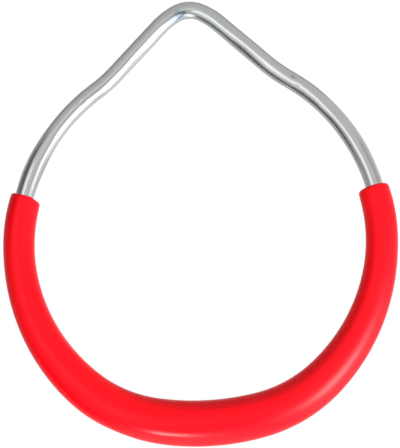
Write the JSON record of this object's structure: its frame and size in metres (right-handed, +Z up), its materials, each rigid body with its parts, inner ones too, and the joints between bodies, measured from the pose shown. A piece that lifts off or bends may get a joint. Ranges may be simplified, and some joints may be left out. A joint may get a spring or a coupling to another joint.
{
  "type": "hanging hand ring",
  "caption": "Hanging hand ring: a round steel bar bent to a loop with a pointed crown, with a thick curved plastic grip over its lower part.",
  "frame": {"origin": "the point that the ring hangs by, on the underside of the crown, in the ring's middle plane", "axes": "+Z up as the ring hangs, from the grip's middle to the crown; +Y through the opening of the ring; +X across it, to the right seen from the front"},
  "size_m": [0.2168, 0.0248, 0.2479],
  "materials": {
    "zinc_plated_steel": "bright zinc plate on drawn round bar, glossy, with fine marks along the bar and faint blue and straw tints",
    "weld_metal": "ground flush, dull",
    "red_grip": "moulded soft plastic, satin"
  },
  "bodies": {
    "root": {"steel_bar": "zinc_plated_steel", "butt_weld": "weld_metal", "grip_sleeve": "red_grip"}
  },
  "joints": []
}
